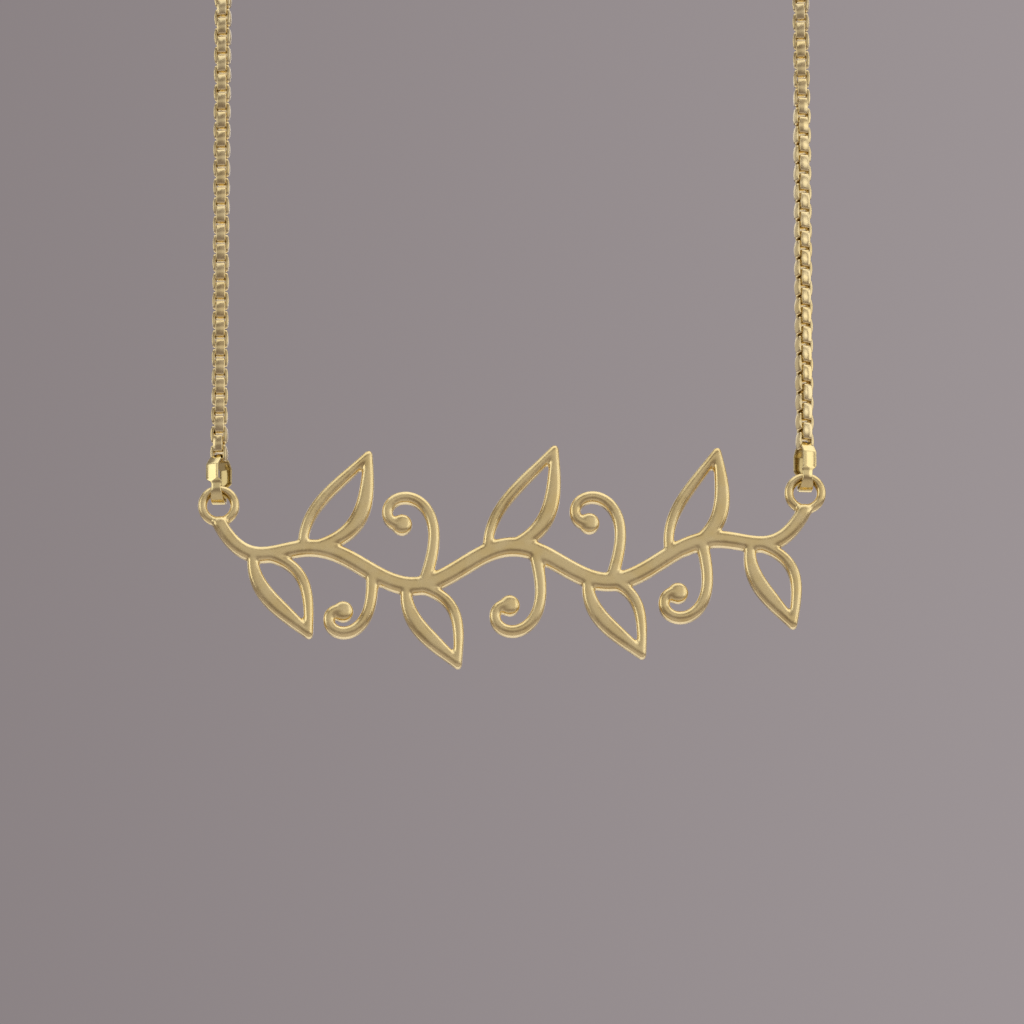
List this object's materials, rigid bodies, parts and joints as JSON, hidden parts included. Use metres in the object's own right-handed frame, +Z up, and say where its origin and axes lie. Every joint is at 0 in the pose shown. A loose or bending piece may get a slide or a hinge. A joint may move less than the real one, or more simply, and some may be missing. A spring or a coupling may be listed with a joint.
{
  "type": "nameplate necklace",
  "caption": "Fine square-chain necklace closed in a loop, with an openwork vine nameplate hanging from an eyelet at each end and a clasp at the top.",
  "frame": {"origin": "the point that the necklace hangs from, under the clasp at the top of the loop", "axes": "+Z up, +X to the right along the plate, the front faces -Y"},
  "size_m": [0.0376, 0.004, 0.2072],
  "materials": {
    "gold_plate": "gold plated, cast and tumbled to a soft satin polish, with rounded edges",
    "gold_chain": "gold plated square links folded from flat strip, bright on their edges",
    "gold_link": "gold plated folded strip, bright and smooth",
    "gold_clasp": "gold plated, polished"
  },
  "bodies": {
    "necklace": {"end_link_left": "gold_link", "end_link_right": "gold_link", "chain_left": "gold_chain", "chain_right": "gold_chain", "chain_turn_left": "gold_chain", "chain_turn_right": "gold_chain", "clasp_link_left": "gold_link", "clasp_link_right": "gold_link", "clasp": "gold_clasp", "clasp_ring": "gold_clasp"},
    "nameplate": {"nameplate": "gold_plate"}
  },
  "joints": [
    {"name": "nameplate_swing", "type": "hinge", "parent": "necklace", "child": "nameplate", "pos_m": [0, 0, -0.19142], "axis": [0.9998, 0, 0.0222], "range_deg": [-90, 90]}
  ]
}
